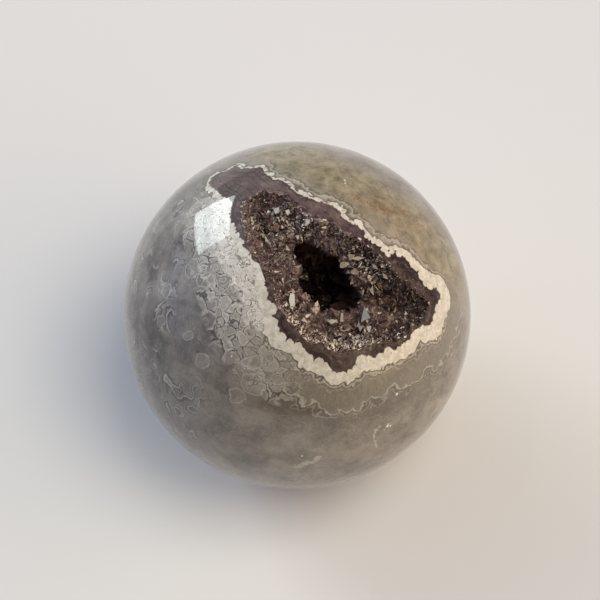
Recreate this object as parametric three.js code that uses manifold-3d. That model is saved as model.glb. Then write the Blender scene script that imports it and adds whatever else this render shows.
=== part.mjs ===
// A polished agate ball, 60 mm across, with a natural hollow that opens at its top.
// The hollow is lined with a thin crust of dark quartz crystals, as a geode is. Where the crystals reached the
// ball's surface, they were ground off flush with it.
//
// Two solids: agate_sphere, the ball with its hollow, and druzy_crust, the crystal lining, a thin gap inside it.
// Units are millimetres, +Z is up, and the origin is the middle of the small flat that the ball rests on.
import * as THREE from "three";
import { mergeVertices } from "three/addons/utils/BufferGeometryUtils.js";
import Module from "manifold-3d";

// The ball
const BALL_RADIUS = 30;
const BALL_DETAIL = 10; // subdivisions of the icosahedron that the ball's facets come from
const REST_FLAT_RADIUS = 4;
const CENTRE_HEIGHT = Math.sqrt(BALL_RADIUS ** 2 - REST_FLAT_RADIUS ** 2);

// The hollow's middle leans from straight up towards a bearing counted from +X about +Z
const HOLLOW_LEAN = THREE.MathUtils.degToRad(15);
const HOLLOW_BEARING = THREE.MathUtils.degToRad(-44);

// The lining
const CRUST_THICKNESS = 1.2;
const FIT_GAP = 0.3; // between the crust's back and the ball

// The hollow's mouth on the ball's surface. Each point is a pair of lengths measured over the surface from the
// hollow's middle: along the lean, and across it.
const MOUTH = [
  [-19.5, -1.5], [-18.5, 1], [-18, 3], [-15, 4.3], [-9, 4.8], [-5, 5.8], [0.5, 7.2],
  [6.5, 8.2], [11, 9.3], [15, 10.5], [17, 8.5], [16.5, 4], [14.5, -1], [13, -3.5],
  [10.5, -7.5], [7.5, -9.5], [3, -10.5], [-2.5, -10], [-6, -8], [-11.5, -6.5], [-15.5, -4.5],
];
const MOUTH_STEPS = 60;

// The bowl under the mouth: its wall curves down over WALL_RUN to a floor that lies BOWL_DEPTH deep
const WALL_RUN = 4.5;
const BOWL_DEPTH = 5.6;
const BANK_SLOPE = 1.5; // how steeply the cutter's floor rises out of the ball outside the mouth
const BANK_HEIGHT = 2;
const LID_HEIGHT = 4;

// Where the bowl's floor is deeper or shallower: [along, across, extra depth, reach]
const BOWL_DIPS = [
  [-17, 0.5, -3, 6], // the shallow end
  [-6, -7, -3.2, 4.5], // the shelf beside the cave
  [2, -9.5, -1.5, 4],
  [7, 3.2, 2.2, 2.6], // the valley from the cave to the far corner
  [10.5, 6, 2, 2.8],
];

// Rounded mounds of crust that swell up from the floor: [along, across, depth of top, radius]
const MOUNDS = [
  [4.8, 6.8, 3.3, 3.3],
  [11.5, 9, 3.4, 2.8],
  [-3.5, 6.2, 3.6, 2.6],
  [-10.5, 2.6, 3.2, 2.8],
  [-11, -2.8, 2.4, 3],
  [-5.4, -5.4, 2.4, 3],
  [0, -8, 2.8, 2.4],
  [8.2, -4.8, 3.4, 3.6],
  [12.6, 1.5, 3.6, 3.2],
  [-15.5, 0, 2, 2.6],
];

// Ellipsoids that open the hollow further down: [along, across, depth of centre, radii along, across, deep, turn]
const CAVES = [[-1.5, -0.6, 13, 9.5, 7.7, 10, 0]];

// The crystals: one six-sided point stands on each corner of a net of triangles over the hollow's skin
const FLOOR_PITCH = 1.75; // between neighbouring crystals on the bowl's floor
const FLOOR_REACH_ALONG = [-23, 21];
const FLOOR_REACH_ACROSS = [-14, 14];
const LARGEST_FOOT = 0.75; // a crystal's widest reach from its middle, as a share of the pitch
const CAVE_DETAIL = 4; // subdivisions of each cave's icosahedron
const POINT_RISE = 0.85; // a point's height over its reach, close to the slope of quartz's end faces
const POINT_VARIATION = 0.4;
const PLACE_JITTER = 0.16; // as a share of the pitch
const CRYSTAL_SEED = 42;

// The plain skins behind the crystals
const BACK_PITCH = 2.2;
const BACK_DETAIL = 3;

const wasm = await Module();
wasm.setup();

// The hollow's own directions, seen from the ball's centre: out through the mouth, along the lean, and across
const OUT = new THREE.Vector3(
  Math.sin(HOLLOW_LEAN) * Math.cos(HOLLOW_BEARING),
  Math.sin(HOLLOW_LEAN) * Math.sin(HOLLOW_BEARING),
  Math.cos(HOLLOW_LEAN),
);
const ALONG = new THREE.Vector3(
  Math.cos(HOLLOW_LEAN) * Math.cos(HOLLOW_BEARING),
  Math.cos(HOLLOW_LEAN) * Math.sin(HOLLOW_BEARING),
  -Math.sin(HOLLOW_LEAN),
);
const ACROSS = new THREE.Vector3().crossVectors(OUT, ALONG);

// The point at some depth under a place that is given by its lengths over the surface
function placeAt(along, across, depth) {
  const reach = Math.hypot(along, across);
  const share = reach > 0 ? Math.sin(reach / BALL_RADIUS) / reach : 0;
  return new THREE.Vector3()
    .addScaledVector(OUT, Math.cos(reach / BALL_RADIUS))
    .addScaledVector(ALONG, along * share)
    .addScaledVector(ACROSS, across * share)
    .multiplyScalar(BALL_RADIUS - depth);
}

// A small seeded generator, so that the crystals are the same on every run
function seededRandom(seed) {
  let state = seed;
  return () => {
    state = (state + 0x6d2b79f5) | 0;
    let t = Math.imul(state ^ (state >>> 15), 1 | state);
    t = (t + Math.imul(t ^ (t >>> 7), 61 | t)) ^ t;
    return ((t ^ (t >>> 14)) >>> 0) / 4294967296;
  };
}
const random = seededRandom(CRYSTAL_SEED);
const spread = (size) => (random() * 2 - 1) * size;

const mouthOutline = new THREE.CatmullRomCurve3(
  MOUTH.map(([along, across]) => new THREE.Vector3(along, across, 0)),
  true,
  "centripetal",
)
  .getSpacedPoints(MOUTH_STEPS)
  .slice(0, MOUTH_STEPS);

// How far inside the mouth's outline a place lies. It is below zero outside.
function insideMouth(along, across) {
  const place = new THREE.Vector3(along, across, 0);
  const edge = new THREE.Line3();
  const nearest = new THREE.Vector3();
  let least = Infinity;
  let inside = false;
  for (let step = 0; step < MOUTH_STEPS; step++) {
    const from = mouthOutline[step];
    const to = mouthOutline[(step + 1) % MOUTH_STEPS];
    edge.set(from, to).closestPointToPoint(place, true, nearest);
    least = Math.min(least, nearest.distanceTo(place));
    const crosses = from.y > across !== to.y > across;
    if (crosses && along < from.x + ((across - from.y) / (to.y - from.y)) * (to.x - from.x)) inside = !inside;
  }
  return inside ? least : -least;
}

// The depth of the bowl's floor under a place. With grow above zero it is the crust's back, without mounds.
function floorDepth(along, across, grow) {
  const inside = insideMouth(along, across) + grow;
  if (inside <= 0) return Math.max(inside * BANK_SLOPE, -BANK_HEIGHT);
  let depth = BOWL_DEPTH;
  for (const [dipAlong, dipAcross, extra, reach] of BOWL_DIPS) {
    const away = Math.hypot(along - dipAlong, across - dipAcross) / reach;
    depth += extra * Math.exp(-away * away);
  }
  const side = 1 - Math.min(inside / WALL_RUN, 1);
  depth = (depth + grow) * Math.sqrt(1 - side * side);
  if (grow > 0) return depth;
  for (const [moundAlong, moundAcross, top, radius] of MOUNDS) {
    const away = Math.hypot(along - moundAlong, across - moundAcross);
    if (away < radius) depth = Math.min(depth, top + radius - Math.sqrt(radius * radius - away * away));
  }
  return depth;
}

// Triangles over a block of rows, each row shifted by half a pitch, closed by a lid outside the ball
function bowlGeometry(pitch, jitter, grow) {
  const rowPitch = (pitch * Math.sqrt(3)) / 2;
  const [alongFrom, alongTo] = FLOOR_REACH_ALONG;
  const [acrossFrom, acrossTo] = FLOOR_REACH_ACROSS;
  const columns = Math.round((alongTo - alongFrom) / pitch) + 1;
  const rows = Math.round((acrossTo - acrossFrom) / rowPitch) + 1;
  const floor = [];
  const lid = [];
  for (let row = 0; row < rows; row++) {
    for (let column = 0; column < columns; column++) {
      const along = alongFrom + (column + (row % 2) / 2) * pitch + spread(jitter);
      const across = acrossFrom + row * rowPitch + spread(jitter);
      floor.push(placeAt(along, across, floorDepth(along, across, grow)));
      lid.push(placeAt(along, across, -LID_HEIGHT));
    }
  }
  const count = floor.length;
  const faces = [];
  for (let row = 0; row < rows - 1; row++) {
    for (let column = 0; column < columns - 1; column++) {
      const near = row * columns + column;
      const far = near + columns;
      const halves =
        row % 2 === 0
          ? [[near, near + 1, far], [near + 1, far + 1, far]]
          : [[near, near + 1, far + 1], [near, far + 1, far]];
      for (const [a, b, c] of halves) faces.push(a, c, b, count + a, count + b, count + c);
    }
  }
  const rim = [];
  for (let column = 0; column < columns - 1; column++) rim.push(column);
  for (let row = 0; row < rows - 1; row++) rim.push(row * columns + columns - 1);
  for (let column = columns - 1; column > 0; column--) rim.push((rows - 1) * columns + column);
  for (let row = rows - 1; row > 0; row--) rim.push(row * columns);
  rim.forEach((from, index) => {
    const to = rim[(index + 1) % rim.length];
    faces.push(from, to, count + to, from, count + to, count + from);
  });
  const geometry = new THREE.BufferGeometry().setFromPoints([...floor, ...lid]);
  geometry.setIndex(faces);
  return geometry;
}

// An ellipsoid whose third axis points at the ball's centre and whose first is turned from the lean
function caveGeometry([along, across, depth, radiusAlong, radiusAcross, radiusDeep, turnDegrees], detail, grow) {
  const place = placeAt(along, across, depth);
  const outward = place.clone().normalize();
  const turn = THREE.MathUtils.degToRad(turnDegrees);
  const first = ALONG.clone().multiplyScalar(Math.cos(turn)).addScaledVector(ACROSS, Math.sin(turn));
  first.addScaledVector(outward, -first.dot(outward)).normalize();
  const second = new THREE.Vector3().crossVectors(outward, first);
  const frame = new THREE.Matrix4().makeBasis(
    first.multiplyScalar(radiusAlong + grow),
    second.multiplyScalar(radiusAcross + grow),
    outward.multiplyScalar(radiusDeep + grow),
  );
  return new THREE.IcosahedronGeometry(1, detail).applyMatrix4(frame.setPosition(place));
}

// Only the positions, with one vertex where corners meet
function welded(geometry) {
  const bare = geometry.clone();
  bare.deleteAttribute("normal");
  bare.deleteAttribute("uv");
  return mergeVertices(bare, 1e-4);
}

function solidOf(geometry) {
  const merged = welded(geometry);
  return new wasm.Manifold(
    new wasm.Mesh({
      numProp: 3,
      vertProperties: new Float32Array(merged.attributes.position.array),
      triVerts: new Uint32Array(merged.index.array),
    }),
  );
}

function geometryOf(solid) {
  const mesh = solid.getMesh();
  const geometry = new THREE.BufferGeometry();
  geometry.setAttribute("position", new THREE.BufferAttribute(mesh.vertProperties, 3));
  geometry.setIndex(new THREE.BufferAttribute(mesh.triVerts, 1));
  return geometry;
}

// Covers an open space's skin with crystals that point into the space. Each corner of the skin becomes the tip of
// a crystal, and the middles of the triangles round it are the six corners of its foot.
function withCrystals(geometry) {
  const skin = welded(geometry);
  skin.computeVertexNormals();
  const { position, normal } = skin.attributes;
  const index = skin.index.array;
  const corner = (vertex) => new THREE.Vector3().fromBufferAttribute(position, vertex);
  const triangleOf = new Map();
  const feet = [];
  for (let start = 0; start < index.length; start += 3) {
    const [a, b, c] = index.slice(start, start + 3);
    for (const [from, to] of [[a, b], [b, c], [c, a]]) triangleOf.set(from + ">" + to, start / 3);
    feet.push(corner(a).add(corner(b)).add(corner(c)).divideScalar(3));
  }
  const pitches = Array(position.count).fill(0);
  for (const key of triangleOf.keys()) {
    const [from, to] = key.split(">").map(Number);
    pitches[from] = Math.max(pitches[from], corner(from).distanceTo(corner(to)) / 2);
  }
  const tips = pitches.map((halfPitch, vertex) => {
    const size = Math.min(halfPitch, FLOOR_PITCH * LARGEST_FOOT);
    const rise = size * POINT_RISE * (1 + spread(POINT_VARIATION));
    const inward = new THREE.Vector3().fromBufferAttribute(normal, vertex).negate();
    const tip = corner(vertex).addScaledVector(inward, rise);
    return tip.add(new THREE.Vector3(spread(1), spread(1), spread(1)).multiplyScalar(PLACE_JITTER * size));
  });
  const faces = [];
  for (const [key, triangle] of triangleOf) {
    const [from, to] = key.split(">").map(Number);
    const beside = triangleOf.get(to + ">" + from);
    faces.push(from, tips.length + beside, tips.length + triangle);
  }
  const grown = new THREE.BufferGeometry().setFromPoints([...tips, ...feet]);
  grown.setIndex(faces);
  return grown;
}

// The open space as the crystals leave it, and the plain, larger spaces that the crust's back and the ball's
// pocket follow
function crystalSpace() {
  let space = solidOf(withCrystals(bowlGeometry(FLOOR_PITCH, FLOOR_PITCH * PLACE_JITTER, 0)));
  for (const cave of CAVES) space = space.add(solidOf(withCrystals(caveGeometry(cave, CAVE_DETAIL, 0))));
  return space;
}

function plainSpace(grow) {
  let space = solidOf(bowlGeometry(BACK_PITCH, 0, grow));
  for (const cave of CAVES) space = space.add(solidOf(caveGeometry(cave, BACK_DETAIL, grow)));
  return space;
}

// The ball is cut level at the small flat that it stands on
function ballSolid() {
  const side = BALL_RADIUS * 3;
  const aboveFlat = new THREE.BoxGeometry(side, side, side).translate(0, 0, side / 2 - CENTRE_HEIGHT);
  return solidOf(new THREE.IcosahedronGeometry(BALL_RADIUS, BALL_DETAIL)).intersect(solidOf(aboveFlat));
}

const ball = ballSolid();
const pocket = plainSpace(CRUST_THICKNESS + FIT_GAP);
const lining = plainSpace(CRUST_THICKNESS).subtract(crystalSpace()).intersect(ball);
const [crustSolid] = lining.decompose().sort((one, other) => other.volume() - one.volume());

const sphere = new THREE.Mesh(
  geometryOf(ball.subtract(pocket)),
  new THREE.MeshStandardMaterial({ color: "#8f877c", roughness: 0.12, metalness: 0 }),
);
sphere.name = "agate_sphere";

const crust = new THREE.Mesh(
  geometryOf(crustSolid),
  new THREE.MeshStandardMaterial({ color: "#3d302f", roughness: 0.2, metalness: 0, flatShading: true }),
);
crust.name = "druzy_crust";

const stone = new THREE.Group();
stone.add(sphere, crust);
stone.position.z = CENTRE_HEIGHT;
export default stone;
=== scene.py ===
# A polished agate ball, 60 mm across, with a natural hollow at its top that is lined with amethyst crystals.
import itertools
import math

import bmesh
import bpy
import numpy as np
from mathutils import Matrix, Vector, noise


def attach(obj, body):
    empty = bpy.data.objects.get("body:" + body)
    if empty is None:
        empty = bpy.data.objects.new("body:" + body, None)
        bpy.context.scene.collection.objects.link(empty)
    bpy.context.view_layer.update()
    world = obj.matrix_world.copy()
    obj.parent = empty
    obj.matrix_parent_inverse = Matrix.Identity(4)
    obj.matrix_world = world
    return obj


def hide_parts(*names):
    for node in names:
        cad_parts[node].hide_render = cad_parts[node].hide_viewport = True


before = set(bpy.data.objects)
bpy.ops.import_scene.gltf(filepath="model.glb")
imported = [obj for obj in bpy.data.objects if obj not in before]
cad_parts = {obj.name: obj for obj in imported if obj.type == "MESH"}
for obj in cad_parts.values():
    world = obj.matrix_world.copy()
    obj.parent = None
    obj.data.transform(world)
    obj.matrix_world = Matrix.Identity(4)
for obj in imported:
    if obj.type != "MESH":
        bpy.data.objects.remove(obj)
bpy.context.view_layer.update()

# The agate ball
# A lump of grey-beige chalcedony that grew in layers round a gas bubble, ground to a ball and polished to a
# mirror gloss. The hollow in it is what was left open of the bubble, and the grinding broke into it.
MM = 0.001
BALL_RADIUS = 29.95
REST_FLAT_RADIUS = 3.6
CENTRE = np.array([0, 0, math.sqrt(BALL_RADIUS**2 - REST_FLAT_RADIUS**2)])

# The hollow's middle leans from straight up, towards a bearing counted from +X about +Z
HOLLOW_LEAN = math.radians(15)
HOLLOW_BEARING = math.radians(-44)
UP = np.array([0, 0, 1])
LEVEL = np.array([math.cos(HOLLOW_BEARING), math.sin(HOLLOW_BEARING), 0])
OUT = math.sin(HOLLOW_LEAN) * LEVEL + math.cos(HOLLOW_LEAN) * UP
ALONG = math.cos(HOLLOW_LEAN) * LEVEL - math.sin(HOLLOW_LEAN) * UP
ACROSS = np.cross(OUT, ALONG)
TINY = 1e-9  # stands in for a length of nothing where something is divided by it


def place_at(along, across, depth=0.0):
    """The points at a depth under places given by their lengths over the surface from the hollow's middle"""
    lengths = [np.asarray(length, float) for length in (along, across, depth)]
    along, across, depth = np.broadcast_arrays(*lengths)
    reach = np.maximum(np.hypot(along, across), TINY)
    turn = reach / BALL_RADIUS
    sideways = (along / reach)[..., None] * ALONG + (across / reach)[..., None] * ACROSS
    direction = np.cos(turn)[..., None] * OUT + np.sin(turn)[..., None] * sideways
    return CENTRE + direction * (BALL_RADIUS - depth)[..., None]


def unit(vectors):
    """The vectors, each made 1 long"""
    return vectors / np.linalg.norm(vectors, axis=-1, keepdims=True)


def place_of(points):
    """The lengths over the surface, along and across, of the places above or under some points"""
    outward = unit(points - CENTRE)
    reach = np.arccos(np.clip(outward @ OUT, -1, 1)) * BALL_RADIUS
    bearing = np.arctan2(outward @ ACROSS, outward @ ALONG)
    return reach * np.cos(bearing), reach * np.sin(bearing)


def depth_of(points):
    return BALL_RADIUS - np.linalg.norm(points - CENTRE, axis=-1)


def smooth_outline(corners, steps_each):
    """A closed curve through all the corners"""
    corners = np.array(corners, float)
    before, after, later = np.roll(corners, 1, 0), np.roll(corners, -1, 0), np.roll(corners, -2, 0)
    first = after - before
    second = 2 * before - 5 * corners + 4 * after - later
    third = 3 * corners - before - 3 * after + later
    shares = np.arange(steps_each) / steps_each
    curve = [0.5 * (2 * corners + first * t + second * t**2 + third * t**3) for t in shares]
    return np.stack(curve, 1).reshape(-1, 2)


def distance_to_line(places, line):
    """How far each place is from a line drawn through some places"""
    least = np.full(len(places), np.inf)
    for start, end in zip(line[:-1], line[1:]):
        edge = end - start
        share = np.clip((places - start) @ edge / (edge @ edge), 0, 1)
        least = np.minimum(least, np.linalg.norm(places - start - share[:, None] * edge, axis=1))
    return least


def inside_outline(outline, along, across):
    """How far inside an outline each place is, in millimetres over the surface, and below zero outside it"""
    places = np.stack([np.ravel(along), np.ravel(across)], 1)
    closed = np.concatenate([outline, outline[:1]])
    inside = np.zeros(len(places), bool)
    for start, end in zip(closed[:-1], closed[1:]):
        edge = end - start
        rises = (start[1] > places[:, 1]) != (end[1] > places[:, 1])
        height = edge[1] if edge[1] else TINY
        inside ^= rises & (places[:, 0] < start[0] + (places[:, 1] - start[1]) / height * edge[0])
    least = distance_to_line(places, closed)
    return np.where(inside, least, -least).reshape(np.shape(along))


# Where the open hollow begins, and further out where the white band begins, as corners along and across
MOUTH_CORNERS = [
    (-19.5, -1.5), (-18.5, 1), (-18, 3), (-15, 4.3), (-9, 4.8), (-5, 5.8), (0.5, 7.2), (6.5, 8.2),
    (11, 9.3), (15, 10.5), (17, 8.5), (16.5, 4), (14.5, -1), (13, -3.5), (10.5, -7.5), (7.5, -9.5),
    (3, -10.5), (-2.5, -10), (-6, -8), (-11.5, -6.5), (-15.5, -4.5),
]
BAND_CORNERS = [
    (-30.5, 1.75), (-29, -0.75), (-26, -1.5), (-23.75, -2), (-20.75, -2), (-20.25, -3.25),
    (-18.25, -4.75), (-16, -5.75), (-14.5, -6), (-12.75, -7), (-11, -7.25), (-9.5, -6.75),
    (-8, -7), (-7.25, -7.75), (-6.5, -8.75), (-3.75, -10.5), (-2, -11), (-0.5, -12), (2, -13.25),
    (4.25, -12.25), (5, -12), (6.25, -12.25), (8.25, -12), (8.75, -11.25), (10.5, -11),
    (12, -10.75), (13.25, -10), (14, -8.25), (13.75, -6.25), (14, -5), (15.5, -4), (16.25, -1),
    (17.5, 2), (17, 3.75), (17, 5.75), (19, 8.5), (17.5, 11.25), (16.5, 14), (15.25, 14.75),
    (13.5, 13.5), (13, 12.5), (12.25, 12), (10.75, 12.25), (9, 12), (6.5, 11.75), (5.25, 11),
    (4.25, 10), (4.25, 8.75), (3.25, 9.25), (2, 9), (0.5, 8.5), (-0.75, 8.5), (-2.5, 9),
    (-3.5, 8.25), (-5.25, 8.25), (-6.25, 8.75), (-8, 8.25), (-9.25, 7.75), (-11.25, 7), (-13, 6.5),
    (-16, 7), (-17.5, 7), (-19, 6.5), (-21.25, 7), (-23, 8), (-24, 7.25), (-25.25, 6.25),
    (-26.5, 5.75), (-28, 6.5), (-29.25, 4),
]
MOUTH = smooth_outline(MOUTH_CORNERS, 8)
BAND = smooth_outline(BAND_CORNERS, 4)

# The mouth's edge wanders: over what length, and how far
MOUTH_RAGGED = [(3.0, 0.9), (1.2, 0.5)]
# The wall falls from the edge to the floor over a run, on a curve with two powers
WALL_RUN = 4.5
WALL_POWERS = (1.6, 0.75)
FLOOR_DEPTH = 5.6
# Where the floor is deeper or shallower: (along, across, extra depth, reach)
DIPS = [(-17, 0.5, -3, 6), (-6, -7, -3.2, 4.5), (2, -9.5, -1.5, 4), (7, 3.2, 2.2, 2.6), (10.5, 6, 2, 2.8)]
# Rounded mounds that swell up from the floor: (along, across, depth of top, radius)
MOUNDS = [
    (4.8, 6.8, 3.3, 3.3), (11.5, 9, 3.4, 2.8), (-3.5, 6.2, 3.6, 2.6), (-10.5, 2.6, 3.2, 2.8),
    (-11, -2.8, 2.4, 3), (-5.4, -5.4, 2.4, 3), (0, -8, 2.8, 2.4), (8.2, -4.8, 3.4, 3.6),
    (12.6, 1.5, 3.6, 3.2), (-15.5, 0, 2, 2.6),
]
# Rounded caves under the floor: (along, across, depth, radii along, across and deep, turn in degrees)
CAVES = [(-1.5, -0.6, 13, 9.5, 7.7, 10, 0)]
# The lumps on the hollow's skin: their width, and how far they swell, which is less near the ball's surface
LUMPS = [(5.0, 0.7), (2.2, 0.35), (1.1, 0.15)]
LUMPS_RUN = 1.5
LEAST_LUMPS = 0.3
# The cutter's floor rises out of the ball past the mouth's edge, up to a bank under its lid
BANK_SLOPE = 1.5
BANK_HEIGHT = 2
LID_HEIGHT = 4
# The grid that it is made on: from and to, and its step
CUTTER_ALONG = (-24, 22.01)
CUTTER_ACROSS = (-15, 15.01)
CUTTER_STEP = 0.4
CAVE_SUBDIVISIONS = 5
SKIN_STEP = 0.38 * MM


def lumps(points, table):
    """Random swells of several sizes at some points, from a table of their width and height"""
    swells = [[height * noise.noise(Vector(point / width)) for point in points] for width, height in table]
    return np.sum(swells, 0)


def floor_depth(along, across):
    """How deep the hollow's floor lies under some places, and below zero where the cutter leaves the ball"""
    places = np.stack([along.ravel(), across.ravel(), 0 * along.ravel()], 1)
    inside = inside_outline(MOUTH, along, across) + lumps(places, MOUTH_RAGGED).reshape(along.shape)
    depth = np.full(along.shape, float(FLOOR_DEPTH))
    for dip_along, dip_across, extra, reach in DIPS:
        depth += extra * np.exp(-((along - dip_along) ** 2 + (across - dip_across) ** 2) / reach**2)
    side = 1 - np.clip(inside / WALL_RUN, 0, 1)
    depth *= (1 - side ** WALL_POWERS[0]) ** WALL_POWERS[1]
    for mound_along, mound_across, top, radius in MOUNDS:
        away = (along - mound_along) ** 2 + (across - mound_across) ** 2
        mound = top + radius - np.sqrt(np.maximum(radius**2 - away, 0))
        depth = np.where(away < radius**2, np.minimum(depth, mound), depth)
    return np.where(inside > 0, depth, np.maximum(inside * BANK_SLOPE, -BANK_HEIGHT))


def put_in(name, data):
    """A new object in the scene"""
    made = bpy.data.objects.new(name, data)
    bpy.context.scene.collection.objects.link(made)
    return made


def new_piece(name, points, *face_blocks):
    """A mesh object from points in millimetres and blocks of like faces"""
    mesh = bpy.data.meshes.new(name)
    faces = [face for block in face_blocks for face in block.tolist()]
    mesh.from_pydata((points * MM).tolist(), [], faces)
    mesh.update()
    return put_in(name, mesh)


def apply_modifiers(piece):
    """Replaces a piece's mesh by what its modifiers make of it"""
    bpy.context.view_layer.update()
    seen = piece.evaluated_get(bpy.context.evaluated_depsgraph_get())
    made = bpy.data.meshes.new_from_object(seen)
    piece.modifiers.clear()
    piece.data = made


def cut(piece, other, operation):
    """Cuts or trims a piece by another closed one"""
    modifier = piece.modifiers.new(operation, "BOOLEAN")
    modifier.operation = operation
    modifier.solver = "MANIFOLD"
    modifier.object = other
    apply_modifiers(piece)


def read_all(parts, name, kind=np.float32, width=1):
    """What all of a mesh's parts say under one name, as a list or in rows"""
    values = np.empty(len(parts) * width, kind)
    parts.foreach_get(name, values)
    return values.reshape(-1, width) if width > 1 else values


def points_of(piece):
    """A piece's points in millimetres"""
    return read_all(piece.data.vertices, "co", width=3) / MM


def normals_of(piece):
    return read_all(piece.data.vertex_normals, "vector", width=3)


def set_points(piece, points):
    piece.data.vertices.foreach_set("co", (points * MM).astype(np.float32).ravel())
    piece.data.update()


def grid_faces(rows, columns, first=0):
    """Quads over a block of points in rows"""
    near = first + np.arange(rows - 1)[:, None] * columns + np.arange(columns - 1)
    return np.stack([near, near + 1, near + columns + 1, near + columns], -1).reshape(-1, 4)


def bowl_cutter():
    """The bowl under the mouth as a closed piece: its floor, and a lid outside the ball"""
    along, across = np.meshgrid(np.arange(*CUTTER_ALONG, CUTTER_STEP), np.arange(*CUTTER_ACROSS, CUTTER_STEP))
    rows, columns = along.shape
    count = rows * columns
    floor_points = place_at(along, across, floor_depth(along, across))
    lid_points = place_at(along, across, -LID_HEIGHT)
    points = np.concatenate([floor_points, lid_points]).reshape(-1, 3)
    index = np.arange(count).reshape(rows, columns)
    rim = np.concatenate([index[0, :-1], index[:-1, -1], index[-1, :0:-1], index[:0:-1, 0]])
    following = np.roll(rim, -1)
    sides = np.stack([rim, following, following + count, rim + count], 1)
    floor_faces = grid_faces(rows, columns)[:, ::-1]
    return new_piece("bowl", points, floor_faces, grid_faces(rows, columns, count), sides)


def cave_cutter(along, across, depth, radius_along, radius_across, radius_deep, turn):
    """An ellipsoid with its third axis towards the ball's centre and its first turned from the hollow's"""
    place = place_at(along, across, depth)
    outward = unit(place - CENTRE)
    turn = math.radians(turn)
    first = ALONG * math.cos(turn) + ACROSS * math.sin(turn)
    first = unit(first - outward * (first @ outward))
    second = np.cross(outward, first)
    bpy.ops.mesh.primitive_ico_sphere_add(subdivisions=CAVE_SUBDIVISIONS, radius=MM)
    cave = bpy.context.object
    axes = np.stack([first * radius_along, second * radius_across, outward * radius_deep])
    set_points(cave, place + points_of(cave) @ axes)
    return cave


def hollow_skin():
    """The open space inside the ball as one closed piece, with lumps on its skin"""
    parts = [bowl_cutter()] + [cave_cutter(*cave) for cave in CAVES]
    bpy.ops.object.select_all(action="DESELECT")
    for part in parts:
        part.select_set(True)
    bpy.context.view_layer.objects.active = parts[0]
    bpy.ops.object.join()
    hollow = parts[0]
    hollow.name = "hollow"
    remesh = hollow.modifiers.new("skin", "REMESH")
    remesh.mode = "VOXEL"
    remesh.voxel_size = SKIN_STEP
    apply_modifiers(hollow)
    points, normals = points_of(hollow), normals_of(hollow)
    share = np.clip(depth_of(points) / LUMPS_RUN + LEAST_LUMPS, LEAST_LUMPS, 1)
    swell = lumps(points, LUMPS) * share
    set_points(hollow, points + normals * swell[:, None])
    return hollow


def grown(piece, name, amount):
    """A copy of a piece whose skin lies further out"""
    copy = put_in(name, piece.data.copy())
    set_points(copy, points_of(piece) + normals_of(piece) * amount)
    return copy


# The ball's rings lie a fine step apart near the hollow. Further out each step is wider, up to a widest one.
FINE_REACH = 24
FIRST_WIDENING = 0.05
WIDENING = 0.02
WIDEST_STEP = 0.95
FAR_POLE = math.pi * BALL_RADIUS
LAST_RING = FAR_POLE - 0.6


def ball_piece(name, radius, segments, fine_step):
    """A ball whose rings circle the hollow's middle and lie closest together near it"""
    rings = list(np.arange(fine_step, FINE_REACH, fine_step))
    while rings[-1] < FAR_POLE - 1:
        wider = fine_step + (rings[-1] - FINE_REACH) * WIDENING + FIRST_WIDENING
        rings.append(rings[-1] + min(wider, WIDEST_STEP))
    rings = np.array(rings) * LAST_RING / rings[-1]
    bearings = np.arange(segments) * math.tau / segments
    along, across = rings[:, None] * np.cos(bearings), rings[:, None] * np.sin(bearings)
    depth = BALL_RADIUS - radius
    poles = place_at([0.0, FAR_POLE], 0.0, depth)
    points = np.concatenate([place_at(along, across, depth).reshape(-1, 3), poles])
    points[:, 2] = np.maximum(points[:, 2], 0)
    near = np.arange(segments)
    following = np.roll(near, -1)
    starts = np.arange(len(rings) - 1)[:, None] * segments
    corners = [starts + near, starts + near + segments, starts + following + segments, starts + following]
    first_pole = len(rings) * segments
    last = first_pole - segments
    near_cap = np.stack([near, following, np.full(segments, first_pole)], 1)
    far_cap = np.stack([last + following, last + near, np.full(segments, first_pole + 1)], 1)
    return new_piece(name, points, np.stack(corners, -1).reshape(-1, 4), near_cap, far_cap)


# The agate's own shape: the ball less the pocket in which the crystal crust sits
CRUST_SHEET = 0.25
CRUST_GAP = 0.04
BALL_SEGMENTS = 512
RING_STEP = 0.35
hollow = hollow_skin()
ball = ball_piece("polished_agate_ball", BALL_RADIUS, BALL_SEGMENTS, RING_STEP)
pocket = grown(hollow, "pocket", CRUST_SHEET + CRUST_GAP)
cut(ball, pocket, "DIFFERENCE")

# The ground face gets the true ball's normals, so that it mirrors without a ripple
POLISH_TOLERANCE = 0.02
FLAT_TOLERANCE = 0.001
mesh = ball.data
mesh.polygons.foreach_set("use_smooth", np.ones(len(mesh.polygons), bool))
points = points_of(ball)
outward = points - CENTRE
reach = np.linalg.norm(outward, axis=1)
outward /= reach[:, None]
on_ball = (np.abs(reach - BALL_RADIUS) < POLISH_TOLERANCE) & (points[:, 2] > FLAT_TOLERANCE)
sizes = read_all(mesh.polygons, "loop_total", np.int32)
corners = read_all(mesh.loops, "vertex_index", np.int32)
face_of_corner = np.repeat(np.arange(len(sizes)), sizes)
whole = np.ones(len(sizes), bool)
np.logical_and.at(whole, face_of_corner, on_ball[corners])
normals = read_all(mesh.polygons, "normal", width=3)[face_of_corner]
ground_corners = whole[face_of_corner]
normals[ground_corners] = outward[corners[ground_corners]]
mesh.normals_split_custom_set(normals.tolist())


def near_path(path, reach, along, across):
    """How near each place is to a line drawn through some places: 1 on it, fading to 0 over the reach"""
    away = distance_to_line(np.stack([along, across], 1), np.array(path, float))
    return np.exp(-((away / reach) ** 2))


def keep_on_points(piece, **numbers):
    """Keeps numbers on the points of a piece for its shader, each under its name"""
    for name, values in numbers.items():
        attribute = piece.data.attributes.new(name, "FLOAT", "POINT")
        attribute.data.foreach_set("value", np.asarray(values, np.float32))


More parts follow.
